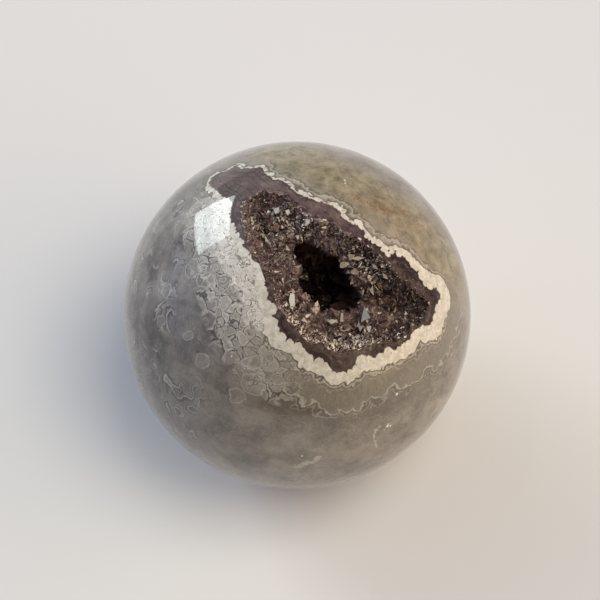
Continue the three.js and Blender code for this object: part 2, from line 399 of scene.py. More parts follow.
# What the shader needs to know of each point is kept on it: how far it lies outside the white band's inner
# edge, how wide the band is there, by the bearing round the hollow in degrees, and how far it belongs to each
# kind of growth that the cut shows.
BAND_WIDTHS = [
    (-180, 0.5), (-165, 0.5), (-150, 0.8), (-120, 1.2), (-95, 1.7), (-60, 1.7), (-30, 1.4), (0, 1.8),
    (25, 2.3), (40, 2.6), (60, 1.2), (90, 0.7), (120, 0.6), (150, 0.35), (170, 0.3), (180, 0.5),
]
# The growths: the line that each follows, and the reach of its edge
GROWTHS = {
    "frothy": ([(-24, -5), (-20, -8), (-15, -11.5), (-10, -14), (-4, -17), (1, -18), (6, -17.5)], 4.5),
    "snowy": ([(-22, -2.5), (-18.5, -6), (-14.5, -8.6), (-10.5, -9.6), (-7, -11), (-3, -13)], 2.6),
    "olive": ([(-24, 14), (-17.5, 15), (-11, 15), (-4, 16.5), (3, 19), (8, 20), (14, 22)], 6.0),
    "rusty": ([(-5.5, 13.8), (-3.7, 14.5), (-2, 15.7), (-0.3, 17.4), (1.5, 19.4), (4.2, 20.7)], 1.3),
    "smoky": ([(-34, -6), (-30, -16), (-22, -26), (-14, -34), (-4, -40)], 9.0),
    "layered": ([(3, -19), (10, -19.5), (17, -16.5), (21.5, -9), (23.5, -2), (24, 6), (22, 14)], 5.0),
    "fibrous": ([(8.5, -14.5), (13, -13.5), (17, -11), (18.5, -6), (20.5, 0), (21.5, 6), (21, 12)], 2.6),
    "twinned": ([(-21, 9), (-13, 8.5), (-6, 10.3), (0, 10.5), (4, 12), (9, 14), (13, 15.5)], 2.2),
    "pale_rim": ([(-27, 2), (-22, 3), (-17, 5.3), (-10, 6), (-3, 7)], 3.5),
    "dark_rim": ([(1, 8), (5, 9), (9, 10.5), (13, 12), (17.5, 10), (16.7, 4), (15, -2)], 3.0),
}
along, across = place_of(points_of(ball))
bearing = np.arctan2(across, along)
widths = np.array(BAND_WIDTHS)
band_width = np.interp(np.degrees(bearing), widths[:, 0], widths[:, 1])

# The knobs along the band's inner edge: their sizes, and how far they sink in, stray and follow one another
KNOB_SEED = 5
KNOB_REACH = 3
KNOB_SIZES = (0.45, 1.05)
KNOB_SHARE = 0.62
KNOB_LIMITS = (0.45, 0.95)
KNOB_SINK = 0.35
KNOB_STRAY = 0.2
KNOB_STEPS = (1.3, 2.3)


def knobbly(from_band):
    """Lets round white growths of many sizes stand into the amethyst all along the band's inner edge"""
    draw = np.random.default_rng(KNOB_SEED)
    near = np.abs(from_band) < KNOB_REACH
    places = np.stack([along[near], across[near]], 1)
    edge, reached = from_band[near] - KNOB_SINK, 0
    steps = np.linalg.norm(np.diff(BAND, axis=0), axis=1)
    walked = np.concatenate([[0], np.cumsum(steps)])
    while reached < walked[-1]:
        middle = np.array([np.interp(reached, walked, BAND[:, axis]) for axis in (0, 1)])
        width = np.interp(math.degrees(math.atan2(middle[1], middle[0])), widths[:, 0], widths[:, 1])
        radius = draw.uniform(*KNOB_SIZES) * np.clip(width * KNOB_SHARE, *KNOB_LIMITS)
        middle *= 1 + (KNOB_SINK + draw.uniform(-KNOB_STRAY, KNOB_STRAY)) / np.linalg.norm(middle)
        edge = np.maximum(edge, radius - np.linalg.norm(places - middle, axis=1))
        reached += radius * draw.uniform(*KNOB_STEPS)
    from_band[near] = edge
    return from_band


BEARING_REACH = 14
# Pale wisps in the clear stone: the line that each follows, and its reach
WISPS = [
    ([(24.2, -27.6), (24.4, -25.9), (24.6, -24.8), (25.2, -24.0), (24.9, -22.8)], 0.8),
    ([(27.0, -9.6), (27.2, -10.8), (28.7, -12.0), (31.6, -12.3)], 0.3),
    ([(28.7, -9.6), (28.2, -8.4), (28.1, -7.6)], 0.25),
]
keep_on_points(
    ball,
    from_band=knobbly(-inside_outline(BAND, along, across)),
    from_mouth=-inside_outline(MOUTH, along, across),
    band_width=band_width,
    bearing_cos=np.cos(bearing) * BEARING_REACH,
    bearing_sin=np.sin(bearing) * BEARING_REACH,
    **{name: near_path(*growth, along, across) for name, growth in GROWTHS.items()},
    wispy=np.max([near_path(*wisp, along, across) for wisp in WISPS], 0),
)


def linear(hex_colour):
    """An sRGB hex value as the linear colour that a shader takes"""
    values = [int(hex_colour[i : i + 2], 16) / 255 for i in (1, 3, 5)]
    return tuple(v / 12.92 if v <= 0.04045 else ((v + 0.055) / 1.055) ** 2.4 for v in values) + (1,)


def add(kind, *inputs, **settings):
    """Adds a node to the tree in hand, with its settings and its inputs: nodes, numbers or hex colours"""
    node = tree.nodes.new("ShaderNode" + kind)
    sockets = {socket.name.lower().replace(" ", "_"): socket for socket in reversed(node.inputs)}
    for key, value in [*enumerate(inputs), *settings.items()]:
        if key not in sockets and not isinstance(key, int):
            setattr(node, key, value)
            continue
        socket = node.inputs[key] if isinstance(key, int) else sockets[key]
        if isinstance(value, str):
            value = linear(value)
        if isinstance(value, bpy.types.Node):
            value = value.outputs[0]
        if isinstance(value, bpy.types.NodeSocket):
            tree.links.new(value, socket)
        else:
            socket.default_value = value
    return node


def empty_tree(owner):
    """The nodes of a new material or world, with none in it yet"""
    owner.use_nodes = True
    owner.node_tree.nodes.clear()
    return owner.node_tree


def away_from(value, level):
    """How far a value in the shader is from a level, to either side"""
    return add("Math", add("Math", value, level, operation="SUBTRACT"), operation="ABSOLUTE")


# Polished chalcedony: cloudy and a little see-through at its skin, so its patterns are soft-edged, under a
# mirror gloss. Lengths in its patterns are in millimetres.
agate = bpy.data.materials.new("polished_agate")
tree = empty_tree(agate)
place = add("VectorMath", add("TexCoord").outputs["Object"], scale=1 / MM, operation="SCALE")
kept = {
    name: add("Attribute", attribute_name=name).outputs["Fac"]
    for name in ["from_band", "from_mouth", "band_width", "bearing_cos", "bearing_sin", "wispy", *GROWTHS]
}

# Slow waves bend everything that grew in layers, and quick ones roughen its outlines
slow_wave = add("TexNoise", place, scale=1 / 3.5, detail=2)
quick_wave = add("TexNoise", place, scale=1 / 0.8, detail=3)
bent = add("VectorMath", slow_wave.outputs["Color"], (2.6, 2.6, 2.6), place, operation="MULTIPLY_ADD")
crinkled = add("VectorMath", quick_wave.outputs["Color"], (0.8, 0.8, 0.8), bent, operation="MULTIPLY_ADD")

# The cloudy ground: smoky grey at the left, olive at the back, warm beige at the front
clouds = add("TexNoise", bent, scale=1 / 5, detail=7, roughness=0.68)
cloudiness = add("MapRange", clouds, 0.36, 0.64)
ground = add("MixRGB", cloudiness, "#726a60", "#a39a8d")
smoky_clouds = add("MixRGB", cloudiness, "#4a4542", "#817b75")
ground = add("MixRGB", kept["smoky"], ground, smoky_clouds)
olive_clouds = add("TexNoise", bent, scale=1 / 2.2, detail=7, roughness=0.72)
olive = add("MixRGB", add("MapRange", olive_clouds, 0.36, 0.66), "#776d55", "#b0a488")
olive_share = add("MapRange", kept["olive"], 0.15, 0.75)
ground = add("MixRGB", olive_share, ground, olive)
ground = add("MixRGB", add("Math", kept["layered"], 0.6, operation="MULTIPLY"), ground, "#696056")

# Skins of early growths: the cut meets them as scalloped lines like those of a map. Each row has a line's
# offset in height, its thickness, strength and tint.
LEVEL_STEP = 1.3
hills = add("TexNoise", place, scale=1 / 5.0, detail=1)
knobs = add("TexVoronoi", crinkled, scale=1 / 1.9)
small_knobs = add("TexVoronoi", crinkled, scale=1 / 0.8)
height = add("Math", hills, 9.0, operation="MULTIPLY")
height = add("Math", knobs, -1.4, height, operation="MULTIPLY_ADD")
height = add("Math", small_knobs, -0.35, height, operation="MULTIPLY_ADD")
patches = add("MapRange", add("TexNoise", place, scale=1 / 8, detail=2), 0.43, 0.57)
mapped = add("Math", add("MapRange", kept["smoky"], 0, 0.6, 0.12, 1.0), patches, operation="MULTIPLY")
mapped = add("Math", mapped, add("Math", 1.0, olive_share, operation="SUBTRACT"), operation="MULTIPLY")
filled = add("MapRange", add("Math", height, LEVEL_STEP, operation="PINGPONG"), 0.6, 0.7, 0, 0.3)
ground = add("MixRGB", add("Math", filled, mapped, operation="MULTIPLY"), ground, "#a9a39b")
for offset, thickness, strength, tint in [
    (0.0, 0.24, 0.95, "#bdb8b1"),
    (0.3, 0.15, 0.6, "#aca7a0"),
    (-0.24, 0.16, 0.7, "#47423d"),
    (0.85, 0.15, 0.6, "#aaa49d"),
]:
    level = add("Math", add("Math", height, offset, operation="ADD"), LEVEL_STEP, operation="PINGPONG")
    line = add("MapRange", level, 0.2 * thickness, thickness, strength, 0)
    ground = add("MixRGB", add("Math", line, mapped, operation="MULTIPLY"), ground, tint)

# Froth along the left of the hollow: rounded growths packed close, pale at their skins, dark in their gaps.
# Nearest the hollow they are small and snow-white. Each row has the place, the growths' width, the colours of
# their inside, skin and gaps, and the shares at which they begin and are full.
for zone, size, fill, skin, gap, first, full in [
    ("frothy", 2.7, "#7b7369", "#bfb8ad", "#4f473e", 0.2, 0.34),
    ("frothy", 1.7, "#948c81", "#d6cfc3", "#463e35", 0.5, 0.7),
    ("snowy", 1.0, "#c6bdaf", "#f6f0e5", "#7d7263", 0.22, 0.42),
]:
    cells = add("TexVoronoi", crinkled, scale=1 / size, feature="DISTANCE_TO_EDGE")
    growths = add("TexVoronoi", crinkled, scale=1 / size)
    tints = add("SeparateColor", growths.outputs["Color"])
    body = add("MixRGB", add("Math", tints, 0.55, operation="MULTIPLY"), fill, skin)
    ring_radius = add("MapRange", tints.outputs[2], 0, 1, 0.2, 0.5)
    ring = add("MapRange", away_from(growths, ring_radius), 0.015, 0.05, 0.7, 0)
    body = add("MixRGB", ring, body, skin)
    body = add("MixRGB", add("MapRange", cells, 0.07, 0.15, 0.9, 0), body, skin)
    gap_width = add("MapRange", tints.outputs[1], 0.15, 1.0, 0.005, 0.13)
    open_gap = add("MapRange", add("Math", cells, gap_width, operation="DIVIDE"), 0.3, 1.0, 0.9, 0)
    body = add("MixRGB", open_gap, body, gap)
    ragged = add("TexNoise", crinkled, scale=1 / 1.6, detail=3)
    share = add("Math", kept[zone], add("MapRange", ragged, 0.3, 0.7, 0.4, 1.6), operation="MULTIPLY")
    ground = add("MixRGB", add("MapRange", share, first, full), ground, body)

# The snow-white froth is porous
fine_cells = add("TexVoronoi", crinkled, scale=1 / 0.55)
pore_own = add("SeparateColor", fine_cells.outputs["Color"])
pore = add("MapRange", fine_cells, 0.2, 0.34, 1, 0)
pore = add("Math", pore, add("MapRange", pore_own, 0.55, 0.7, 0, 0.9), operation="MULTIPLY")
ground = add("MixRGB", add("Math", pore, kept["snowy"], operation="MULTIPLY"), ground, "#4b4237")

# Growths that stand alone in the clear stone, each with a bumpy, pale skin: (along, across, radius)
still = add("VectorMath", (-1.2, -1.2, -1.2), place, operation="ADD")
middle_wave = add("TexNoise", place, scale=1 / 1.8, detail=3)
bumpy = add("VectorMath", middle_wave.outputs["Color"], (2.4, 2.4, 2.4), still, operation="MULTIPLY_ADD")
for *spot, radius in [
    (-9.6, -24.5, 0.8), (-4.6, -25.7, 1.3), (4.2, -25.6, 1.4), (4.6, -21.6, 1.9), (-19.5, -21.5, 1.0),
]:
    off_middle = add("VectorMath", bumpy, tuple(place_at(*spot)), operation="DISTANCE").outputs["Value"]
    ground = add("MixRGB", add("MapRange", off_middle, radius, radius - 0.1, 0, 0.35), ground, "#aaa398")
    skin = add("MapRange", away_from(off_middle, radius), 0.04, 0.16, 0.75, 0)
    ground = add("MixRGB", skin, ground, "#bdb6ab")

# Pale wisps
grain_cloud = add("TexNoise", crinkled, scale=1 / 0.7, detail=4, roughness=0.7)
wispy = add("Math", kept["wispy"], add("MapRange", grain_cloud, 0.4, 0.6, -0.3, 0.3), operation="ADD")
ground = add("MixRGB", add("MapRange", wispy, 0.45, 0.8, 0, 0.8), ground, "#c6bfb2")

# Iron stain
stain = add("TexNoise", crinkled, scale=1 / 1.1, detail=4, roughness=0.7)
stained = add("Math", kept["rusty"], add("MapRange", stain, 0.45, 0.62), operation="MULTIPLY")
ground = add("MixRGB", add("Math", stained, 0.9, operation="MULTIPLY"), ground, "#8a6136")

# Strokes across the layers, as the fibres of chalcedony grow
band_place = add("CombineXYZ", kept["bearing_cos"], kept["bearing_sin"], kept["from_band"])
fibre_place = add("VectorMath", band_place, (1, 1, 0.16), operation="MULTIPLY")
fibres = add("TexNoise", fibre_place, scale=1 / 0.3, detail=2)
fibre_colour = add("MixRGB", add("MapRange", fibres, 0.35, 0.65), "#6c6357", "#8d8478")
ground = add("MixRGB", add("Math", kept["fibrous"], 0.7, operation="MULTIPLY"), ground, fibre_colour)

# Lines that follow the band, further and further out: (distance, thickness, strength, tint, growth). The
# layered stone is paler up to its first line.
teeth = add("TexVoronoi", crinkled, scale=1 / 1.25)
broad_teeth = add("TexVoronoi", crinkled, scale=1 / 2.4)
outer = add("Math", kept["from_band"], kept["band_width"], operation="SUBTRACT")
line_reach = add("Math", teeth, 1.5, outer, operation="MULTIPLY_ADD")
broad_reach = add("Math", broad_teeth, 2.6, line_reach, operation="MULTIPLY_ADD")
first_layer = add("MapRange", broad_reach, 7.2, 7.35, 0.5, 0)
first_layer = add("Math", first_layer, kept["layered"], operation="MULTIPLY")
ground = add("MixRGB", first_layer, ground, "#938b7f")
for distance, thickness, strength, tint, where in [
    (1.25, 0.25, 0.85, "#c3bcb0", "fibrous"),
    (1.75, 0.16, 0.5, "#655c50", "fibrous"),
    (2.2, 0.2, 0.5, "#b3aca0", "fibrous"),
    (7.3, 0.3, 0.9, "#b9b2a6", "layered"),
    (7.8, 0.22, 0.5, "#665e53", "layered"),
    (8.3, 0.2, 0.6, "#aea79b", "layered"),
    (11.5, 0.2, 0.4, "#aca599", "layered"),
    (1.5, 0.3, 0.9, "#b9b0a2", "twinned"),
    (1.95, 0.3, 0.7, "#6a6150", "twinned"),
    (2.5, 0.2, 0.4, "#a79e8d", "twinned"),
]:
    reach = broad_reach if where == "layered" else line_reach
    line = add("MapRange", away_from(reach, distance), 0.3 * thickness, thickness, strength, 0)
    ground = add("MixRGB", add("Math", line, kept[where], operation="MULTIPLY"), ground, tint)

# The white band, opaque, toothed at its outer edge, with a dark seam behind it
outer = add("Math", teeth, 1.1, outer, operation="MULTIPLY_ADD")
outer = add("Math", outer, 0.5, operation="SUBTRACT")
seam = add("MapRange", away_from(outer, 0.16), 0.06, 0.2, 0.6, 0)
seam = add("Math", seam, add("Math", 1.0, kept["snowy"], operation="SUBTRACT"), operation="MULTIPLY")
ground = add("MixRGB", seam, ground, "#564c40")
pits = add("TexVoronoi", place, scale=1 / 1.1)
pit_edge = add("MapRange", away_from(pits, 0.16), 0.02, 0.06, 0.45, 0)
white_clouds = add("TexNoise", crinkled, scale=1 / 0.9, detail=4)
white = add("MixRGB", add("MapRange", white_clouds, 0.35, 0.65), "#cdc6b6", "#ece6da")
white = add("MixRGB", pit_edge, white, "#8f8474")
ground = add("MixRGB", add("MapRange", outer, -0.06, 0.06, 1, 0), ground, white)

# Fine grain, as each growth is made of bundles of fibres
grain = add("TexNoise", place, scale=1 / 0.35, detail=3, roughness=0.7)
ground = add("MixRGB", add("MapRange", grain, 0.5, 0.7, 0, 0.12), ground, "#cfc8bd")
ground = add("MixRGB", add("MapRange", grain, 0.5, 0.3, 0, 0.16), ground, "#4a443d")

# Small open pits, with painted glints in them as white spots: (along, across, radius)
for *spot, radius in [
    (23.7, -4.1, 0.28), (28.4, -8.5, 0.3), (28.8, -8.0, 0.22), (-10.1, 15, 0.2), (-9.6, 14.4, 0.16),
    (-1.4, -21.3, 0.16), (22.1, -25, 0.2),
]:
    off_pit = add("VectorMath", place, tuple(place_at(*spot)), operation="DISTANCE").outputs["Value"]
    ground = add("MixRGB", add("MapRange", off_pit, 0.7 * radius, radius, 1, 0), ground, "#efe9dd")

# Inside the band the same cut goes through the amethyst: brown-purple, with strokes that fan out
purple_clouds = add("TexNoise", bent, scale=1 / 2.2, detail=6, roughness=0.7)
cloudiness = add("MapRange", purple_clouds, 0.32, 0.68)
purple = add("MixRGB", cloudiness, "#33272a", "#5b4a48")
pale_purple = add("MixRGB", cloudiness, "#463537", "#7f6b63")
dark_purple = add("MixRGB", cloudiness, "#1b1417", "#35282b")
purple = add("MixRGB", kept["pale_rim"], purple, pale_purple)
purple = add("MixRGB", kept["dark_rim"], purple, dark_purple)
purple = add("MixRGB", add("MapRange", fibres, 0.5, 0.75, 0, 0.35), purple, "#7d6c64")
layer_place = add("VectorMath", band_place, (0.12, 0.12, 1), operation="MULTIPLY")
layers = add("TexNoise", layer_place, scale=1 / 0.4, detail=2)
purple = add("MixRGB", add("MapRange", layers, 0.52, 0.68, 0, 0.3), purple, "#6c5a55")
purple = add("MixRGB", add("MapRange", layers, 0.48, 0.34, 0, 0.5), purple, "#1c1416")
# Nearest the hollow it goes through the crystals one by one, so each shows its own tone
tips = add("TexVoronoi", crinkled, scale=1 / 0.5)
tip_tone = add("MixRGB", add("SeparateColor", tips.outputs["Color"]), "#231a1c", "#806d66")
purple = add("MixRGB", add("MapRange", kept["from_mouth"], 0.1, 1.4, 0.65, 0), purple, tip_tone)
# Pale flecks: painted glints of the crystals under the polish
flecks = add("TexVoronoi", crinkled, scale=1 / 0.45)
fleck_own = add("SeparateColor", flecks.outputs["Color"])
purple = add("MixRGB", add("MapRange", fleck_own, 0.9, 0.95, 0, 0.35), purple, "#93837b")
# Small lobes of the agate stand out into the amethyst
lobed = add("Math", fine_cells, -0.28, kept["from_band"], operation="MULTIPLY_ADD")
lobed = add("Math", lobed, 0.14, operation="ADD")
colour = add("MixRGB", add("MapRange", lobed, -0.05, 0.05), purple, ground)

# Fine open pores break the gloss where the amethyst is darkest, and nowhere in the agate
gloss = add("MapRange", kept["dark_rim"], 0.2, 0.9, 0.5, 0.1)
gloss = add("Math", gloss, add("MapRange", lobed, -0.05, 0.05, 0, 0.5), operation="MAXIMUM")
polished = add("BsdfPrincipled", base_color=colour, roughness=0.05, ior=1.54, specular_ior_level=gloss)
add("OutputMaterial", polished)
ball.data.materials.clear()
ball.data.materials.append(agate)
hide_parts("agate_sphere")
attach(ball, "root")


# The crystal crust
# Amethyst that grew on the wall of the bubble towards its middle: a thin sheet, and on it thousands of small
# six-sided points, grown together. Where the grinding met them they are flat and polished like the ball.
sheet = grown(hollow, "amethyst_sheet", CRUST_SHEET)
cut(sheet, hollow, "DIFFERENCE")
TRIM_DEPTH = 0.01
TRIM_SEGMENTS = 256
TRIM_STEP = 0.7
trim = ball_piece("trim", BALL_RADIUS - TRIM_DEPTH, TRIM_SEGMENTS, TRIM_STEP)
cut(sheet, trim, "INTERSECT")

CRYSTAL_SEED = 11
draw = np.random.default_rng(CRYSTAL_SEED)
FACE_LEAN = math.radians(51.8)  # quartz's end faces, from the crystal's long axis to their normals
# The crystals' spacing by depth in the hollow: fine at its edge, coarse in the cave
SPACINGS = [(0.0, 0.34), (1.5, 0.42), (3.0, 0.55), (5.0, 0.75), (8.0, 1.0), (12.0, 1.4)]
LARGE_SPACINGS = [(0.0, 3.0), (1.5, 1.8), (3.0, 1.4), (9.0, 2.0)]
LEAST_DEPTH = 0.1  # of the parts of the hollow's skin that carry crystals
SHALLOWEST = 0.01  # the depth that places nearer the ball's surface are given


def wall_places(count, spacings):
    """Places strewn over the hollow's wall, one to each cell of their spacing, with the way inwards"""
    hollow.data.calc_loop_triangles()
    triangles = read_all(hollow.data.loop_triangles, "vertices", np.int32, 3)
    points, normals = points_of(hollow), normals_of(hollow)
    corners = points[triangles]
    inside = depth_of(corners.mean(1)) > LEAST_DEPTH
    triangles, corners = triangles[inside], corners[inside]
    sides = corners[:, 1:] - corners[:, :1]
    areas = np.linalg.norm(np.cross(sides[:, 0], sides[:, 1]), axis=1)
    chosen = draw.choice(len(triangles), count, p=areas / areas.sum())
    shares = draw.dirichlet((1, 1, 1), count)
    places = (corners[chosen] * shares[..., None]).sum(1)
    inward = -unit((normals[triangles[chosen]] * shares[..., None]).sum(1))
    depths, sizes = np.array(spacings).T
    spacing = sizes[np.searchsorted(depths, np.maximum(depth_of(places), SHALLOWEST)) - 1]
    cells = np.column_stack([spacing, np.floor(places / spacing[:, None])])
    first = np.unique(cells, axis=0, return_index=True)[1]
    return places[first], inward[first], spacing[first]


def turned(inward, tilt):
    """For each way into the hollow, a crystal's long axis near it and two axes across, turned at random"""
    count = len(inward)
    stray = unit(draw.normal(size=(count, 3)))
    axis = unit(inward + stray * np.tan(tilt * draw.random((count, 1))))
    side = unit(np.cross(axis, draw.normal(size=(count, 3))))
    return np.stack([side, np.cross(axis, side), axis], 1)


SMALL_ROOT = 2.0  # how far below 0 the crystals reach, in radii
LARGE_ROOT = 1.2
SAME_PLACE = 1e-6


def crystal_shape(end_heights):
    """The corners of a six-sided crystal of radius 1 that stands on 0, from its end faces' heights"""
    turns = np.arange(6) * math.pi / 3
    sides = np.stack([np.cos(turns), np.sin(turns), 0 * turns, 0 * turns + math.cos(math.pi / 6)], 1)
    lean = math.sin(FACE_LEAN)
    rise = math.cos(FACE_LEAN)
    ends = np.stack([lean * np.cos(turns), lean * np.sin(turns), 0 * turns + rise, rise * end_heights], 1)
    planes = np.concatenate([sides, ends, [[0, 0, -1, LARGE_ROOT]]])
    corners = []
    for three in itertools.combinations(planes, 3):
        three = np.array(three)
        if abs(np.linalg.det(three[:, :3])) < SAME_PLACE:
            continue
        corner = np.linalg.solve(three[:, :3], three[:, 3])
        if (planes[:, :3] @ corner <= planes[:, 3] + SAME_PLACE).all():
            corners.append(corner)
    return np.unique(np.round(corners, 5), axis=0)


def hull_of(corners):
    """The closed skin round some corners, as its points and triangles"""
    form = bmesh.new()
    for corner in corners:
        form.verts.new(corner)
    bmesh.ops.convex_hull(form, input=form.verts)
    form.verts.index_update()
    points = np.array([vertex.co[:] for vertex in form.verts])
    triangles = np.array([[vertex.index for vertex in face.verts] for face in form.faces])
    form.free()
    return points, triangles


# Where crystals reach the ground face they are cut off a little under it, each at its own depth
GROUND_DEPTH = 0.02
GROUND_STRAY = 0.06


def grow_crystals(shapes, places, axes, radii, lengths):
    """Many crystals as one block of points and triangles, each with its own number from 0 to 1"""
    points, triangles, shades, first = [], [], [], 0
    which = draw.integers(len(shapes), size=len(places))
    for number, (form, faces) in enumerate(shapes):
        mine = which == number
        count = int(mine.sum())
        sizes = np.stack([radii[mine], radii[mine], lengths[mine]], 1)
        block = np.einsum("cvi,cij->cvj", form[None] * sizes[:, None], axes[mine]) + places[mine][:, None]
        reach = np.linalg.norm(block - CENTRE, axis=2)
        most = (BALL_RADIUS - GROUND_DEPTH - GROUND_STRAY * draw.random(count))[:, None]
        block = CENTRE + (block - CENTRE) * np.minimum(1, most / reach)[..., None]
        points.append(block.reshape(-1, 3))
        triangles.append((faces[None] + first + np.arange(count)[:, None, None] * len(form)).reshape(-1, 3))
        shades.append(np.repeat(draw.random(count), len(form)))
        first += count * len(form)
    return np.concatenate(points), np.concatenate(triangles), np.concatenate(shades)


# Small points are a six-sided tip with uneven faces, on a root that narrows to nothing inside the sheet
SHAPES_EACH = 16
small_turns = np.arange(6) * math.pi / 3
small_shapes = []
for _ in range(SHAPES_EACH):
    tip = np.append(draw.normal(0, 0.3, 2), draw.uniform(0.75, 1.2))
    ring = np.stack([np.cos(small_turns), np.sin(small_turns), draw.normal(0, 0.2, 6)], 1)
    small_shapes.append(hull_of([tip, *ring, (0, 0, -SMALL_ROOT)]))
# Large ones have three broad end faces and three narrow ones, as quartz does
large_shapes = []
for _ in range(SHAPES_EACH):
    heights = np.where(np.arange(6) % 2, 1.0 + draw.uniform(0, 0.25, 6), 1.15 + draw.uniform(0.1, 0.7, 6))
    large_shapes.append(hull_of(crystal_shape(heights)))

# Lines of places that get painted glints, where the light of the room catches on the crystals' tips in the
# real hollow
PAINTED_GLINT_LINES = [
    [(-0.8, -8.2), (4.1, -11.1), (7.3, -9.6), (9.7, -7.4), (11.9, -4.3), (12.5, -0.6)],
    [(1.2, 2.8), (1.5, 4.9), (3.1, 6.3), (5.9, 6.7), (8, 5.3)],
    [(-16.2, -2.3), (-13.7, -2.1), (-11.1, -1.4), (-8.6, -2)],
    [(-13.7, 1.2), (-11.8, 2.1), (-8.2, 2.9)],
]
PAINTED_GLINT_REACH = 0.9
PAINTED_SPARKLE_REACH = 1.8  # round the same lines, where more of the faces are pale
# The broad clear faces get no painted glints, as they carry a painted reflection of their own
NO_PAINTED_GLINT = -10  # for the broad clear faces, which have tones of their own
# Where the crystals are darkest, by painted shade along the hollow's crevices: lines of places
PAINTED_SHADE_VALLEYS = [
    [(5.8, 2.8), (7.2, 4.7), (8.3, 5.9), (9.9, 7.6), (11.5, 8.3), (13.8, 10)],
    [(-15.7, -0.7), (-12.8, -1.1), (-9.1, -1.9), (-7.2, -2.4)],
]
PAINTED_SHADE_REACH = 1.2


def near_any(paths, reach, along, across):
    """How near each place is to the nearest of some lines"""
    return np.max([near_path(path, reach, along, across) for path in paths], 0)


def finish_druse(piece, shade, fineness, bright=0.0):
    """Keeps on a piece what the amethyst's shader needs, and fixes it to the ball"""
    along, across = place_of(points_of(piece))
    glitter = near_any(PAINTED_GLINT_LINES, PAINTED_GLINT_REACH, along, across)
    keep_on_points(
        piece,
        shade=shade,
        fineness=np.full(len(along), fineness),
        bright=np.full(len(along), bright),
        glitter=np.where(np.array(bright) > 0, NO_PAINTED_GLINT, glitter),
        sparkle=near_any(PAINTED_GLINT_LINES, PAINTED_SPARKLE_REACH, along, across),
        valley=near_any(PAINTED_SHADE_VALLEYS, PAINTED_SHADE_REACH, along, across),
        dark_rim=near_path(*GROWTHS["dark_rim"], along, across),
    )
    piece.data.materials.clear()
    piece.data.materials.append(amethyst)
    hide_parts("druzy_crust")
    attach(piece, "root")


# Amethyst with iron in it: dark brown-purple glass with flat natural faces, so each flashes or stays dark.
# Faces too small to model are cells that each lean their own way. Its colour also carries painted glints,
# painted highlights, painted reflections and painted shade.
MICRO_FACE = 0.3
amethyst = bpy.data.materials.new("amethyst_druse")
tree = empty_tree(amethyst)
place = add("VectorMath", add("TexCoord").outputs["Object"], scale=1 / MM, operation="SCALE")
kept = {
    name: add("Attribute", attribute_name=name).outputs["Fac"]
    for name in ["shade", "fineness", "glitter", "sparkle", "valley", "dark_rim", "bright"]
}
clouds = add("TexNoise", place, scale=1 / 4, detail=5, roughness=0.6)
tone = add("MixRGB", add("MapRange", clouds, 0.36, 0.64), "#7a6160", "#b0938c")
tone = add("MixRGB", add("Math", kept["shade"], 0.4, operation="MULTIPLY"), tone, "#94827d")
tone = add("MixRGB", add("Math", kept["dark_rim"], 0.75, operation="MULTIPLY"), tone, "#2c2224")
# Each face is painted for the light it would catch: most dim as in shade, some pale as lit, a few as
# flashing glints. Near the glint lines the painted dim and pale faces are stronger.
faces = add("VectorMath", add("NewGeometry").outputs["True Normal"], (0.02, 0.02, 0.02), operation="SNAP")
faces = add("TexWhiteNoise", add("VectorMath", faces, add("CombineXYZ", kept["shade"]), operation="ADD"))
dim = add("MapRange", kept["sparkle"], 0, 0.8, 0.6, 1)
dim = add("Math", add("MapRange", faces, 0.25, 0.6, 0.95, 0), dim, operation="MULTIPLY")
tone = add("MixRGB", dim, tone, "#1e0f15")
pale = add("MapRange", kept["sparkle"], 0, 0.8, 0.25, 1)
pale = add("Math", add("MapRange", faces, 0.78, 0.94, 0, 0.95), pale, operation="MULTIPLY")
tone = add("MixRGB", pale, tone, "#ebdccd")
veils = add("TexNoise", place, scale=1 / 0.6, detail=4, roughness=0.65)
tone = add("MixRGB", add("MapRange", veils, 0.4, 0.58, 0.7, 0), tone, "#20161a")
# Painted glints: white on the faces along the glint lines, and on a few elsewhere
flash = add("Math", kept["glitter"], 0.3, faces, operation="MULTIPLY_ADD")
flash = add("Math", flash, 0.96, operation="GREATER_THAN")
tone = add("MixRGB", add("Math", flash, 0.95, operation="MULTIPLY"), tone, "#fff3e2")
# Painted shade along the crevices
tone = add("MixRGB", add("Math", kept["valley"], 0.6, operation="MULTIPLY"), tone, "#2a1a1d")
# The broad clear faces are painted pale as a reflection of the room's light, some with a touch of blue
bright_tint = add("MixRGB", kept["shade"], "#fbf4ec", "#93aebf")
tone = add("MixRGB", kept["bright"], tone, bright_tint)
# Down in the cave the crystals are a dim reddish brown, and painted shade makes them nearly black in its
# deepest end
from_centre = add("VectorMath", place, tuple(CENTRE), operation="DISTANCE").outputs["Value"]
lowest = add("MapRange", from_centre, BALL_RADIUS - 19, BALL_RADIUS - 14, 1, 0)
cave_tone = add("MixRGB", lowest, "#957470", "#1c1214")
cave_share = add("MapRange", from_centre, BALL_RADIUS - 9, BALL_RADIUS - 4.6, 0.75, 0)
tone = add("MixRGB", cave_share, tone, cave_tone)
micro = add("TexVoronoi", place, scale=1 / MICRO_FACE).outputs["Color"]
lean = add("VectorMath", micro, (0.5, 0.5, 0.5), operation="SUBTRACT")
most = add("Math", kept["fineness"], 0.35, operation="MULTIPLY")
lean = add("VectorMath", lean, scale=most, operation="SCALE")
lean = add("VectorMath", lean, add("NewGeometry").outputs["Normal"], operation="ADD")
lean = add("VectorMath", lean, operation="NORMALIZE")
glass = add(
    "BsdfPrincipled", base_color=tone, roughness=0.08, ior=1.544, normal=lean, transmission_weight=0.2,
    specular_ior_level=0.4, specular_tint="#ffe8cf",
)
add("OutputMaterial", glass)

